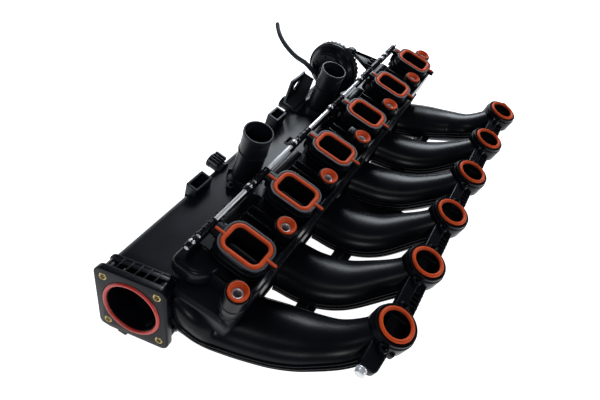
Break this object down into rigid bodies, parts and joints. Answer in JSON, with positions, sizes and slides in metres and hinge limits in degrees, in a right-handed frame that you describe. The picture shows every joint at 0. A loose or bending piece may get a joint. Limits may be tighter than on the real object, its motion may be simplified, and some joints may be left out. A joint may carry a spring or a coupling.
{
  "type": "intake manifold",
  "caption": "Moulded plastic intake manifold with plenum, curved runners, swirl flaps on a linked rod, vacuum actuator, throttle flange and orange port seals.",
  "frame": {"origin": "on the head sealing face, midway along the row of swirl ports, on the ports' centre line", "axes": "+Z out of the head sealing face towards the cylinder head; +X along the row of ports, away from the throttle flange; +Y towards the plenum and actuator side"},
  "size_m": [0.623, 0.4021, 0.1613],
  "materials": {
    "moulded_plastic": "black glass-filled nylon, satin",
    "plenum_plastic": "black glass-filled nylon, satin with a grey-blue sheen",
    "flap_plastic": "dark grey moulded plastic",
    "seal_rubber": "orange-red moulded rubber",
    "throttle_seal_rubber": "red moulded rubber",
    "zinc_steel": "zinc-plated steel",
    "brass_insert": "olive-gold plated threaded insert",
    "bracket_coating": "black coated sheet steel",
    "hose_rubber": "black rubber"
  },
  "bodies": {
    "manifold_body": {"runner_1": "moulded_plastic", "runner_2": "moulded_plastic", "runner_3": "moulded_plastic", "runner_4": "moulded_plastic", "runner_5": "moulded_plastic", "runner_6": "moulded_plastic", "round_port_rail": "moulded_plastic", "front_bolt": "zinc_steel", "port_o_ring_1": "seal_rubber", "port_o_ring_2": "seal_rubber", "port_o_ring_3": "seal_rubber", "port_o_ring_4": "seal_rubber", "port_o_ring_5": "seal_rubber", "port_o_ring_6": "seal_rubber", "swirl_port_bar": "moulded_plastic", "swirl_seal_1": "seal_rubber", "swirl_seal_2": "seal_rubber", "swirl_seal_3": "seal_rubber", "swirl_seal_4": "seal_rubber", "swirl_seal_5": "seal_rubber", "swirl_seal_6": "seal_rubber", "bolt_grommet_1": "seal_rubber", "bolt_grommet_2": "seal_rubber", "bolt_grommet_3": "seal_rubber", "bolt_grommet_4": "seal_rubber", "bolt_grommet_5": "seal_rubber", "bolt_grommet_6": "seal_rubber", "bolt_grommet_7": "seal_rubber", "bolt_sleeve_1": "zinc_steel", "bolt_sleeve_2": "zinc_steel", "bolt_sleeve_3": "zinc_steel", "bolt_sleeve_4": "zinc_steel", "bolt_sleeve_5": "zinc_steel", "bolt_sleeve_6": "zinc_steel", "bolt_sleeve_7": "zinc_steel", "plenum_upper_shell": "plenum_plastic", "plenum_lower_shell": "plenum_plastic", "throttle_flange": "moulded_plastic", "throttle_insert_1": "brass_insert", "throttle_insert_2": "brass_insert", "throttle_insert_3": "brass_insert", "throttle_insert_4": "brass_insert", "throttle_o_ring": "throttle_seal_rubber", "actuator_body": "moulded_plastic", "actuator_cover": "moulded_plastic", "actuator_bracket": "bracket_coating", "vacuum_hose": "hose_rubber"},
    "flap_1": {"swirl_flap_1": "flap_plastic"},
    "flap_2": {"swirl_flap_2": "flap_plastic"},
    "flap_3": {"swirl_flap_3": "flap_plastic"},
    "flap_4": {"swirl_flap_4": "flap_plastic"},
    "flap_5": {"swirl_flap_5": "flap_plastic"},
    "flap_6": {"swirl_flap_6": "flap_plastic"},
    "link": {"link_rod": "zinc_steel", "drive_arm": "moulded_plastic"},
    "actuator_stem": {"actuator_rod": "zinc_steel", "actuator_spring": "zinc_steel"}
  },
  "joints": [
    {"name": "flap_1_turn", "type": "hinge", "parent": "manifold_body", "child": "flap_1", "pos_m": [-0.2275, 0, -0.026], "axis": [0, -1, 0], "range_deg": [0, 80]},
    {"name": "flap_2_turn", "type": "hinge", "parent": "manifold_body", "child": "flap_2", "pos_m": [-0.1365, 0, -0.026], "axis": [0, -1, 0], "range_deg": [0, 80]},
    {"name": "flap_3_turn", "type": "hinge", "parent": "manifold_body", "child": "flap_3", "pos_m": [-0.0455, 0, -0.026], "axis": [0, -1, 0], "range_deg": [0, 80]},
    {"name": "flap_4_turn", "type": "hinge", "parent": "manifold_body", "child": "flap_4", "pos_m": [0.0455, 0, -0.026], "axis": [0, -1, 0], "range_deg": [0, 80]},
    {"name": "flap_5_turn", "type": "hinge", "parent": "manifold_body", "child": "flap_5", "pos_m": [0.1365, 0, -0.026], "axis": [0, -1, 0], "range_deg": [0, 80]},
    {"name": "flap_6_turn", "type": "hinge", "parent": "manifold_body", "child": "flap_6", "pos_m": [0.2275, 0, -0.026], "axis": [0, -1, 0], "range_deg": [0, 80]},
    {"name": "link_swing", "type": "hinge", "parent": "flap_1", "child": "link", "pos_m": [-0.21721, 0.0406, -0.01374], "axis": [0, -1, 0], "range_deg": [-80, 0]},
    {"name": "actuator_slide", "type": "slide", "parent": "manifold_body", "child": "actuator_stem", "axis": [1, 0, 0], "range_m": [-0.02067, 0], "deforming": ["actuator_spring"]}
  ],
  "couplings": [
    {"joint": "flap_2_turn", "follows": "flap_1_turn", "ratio": 1},
    {"joint": "flap_3_turn", "follows": "flap_1_turn", "ratio": 1},
    {"joint": "flap_4_turn", "follows": "flap_1_turn", "ratio": 1},
    {"joint": "flap_5_turn", "follows": "flap_1_turn", "ratio": 1},
    {"joint": "flap_6_turn", "follows": "flap_1_turn", "ratio": 1},
    {"joint": "link_swing", "follows": "flap_1_turn", "ratio": -1},
    {"joint": "actuator_slide", "follows": "flap_1_turn", "m_per_rad": -0.014732}
  ]
}
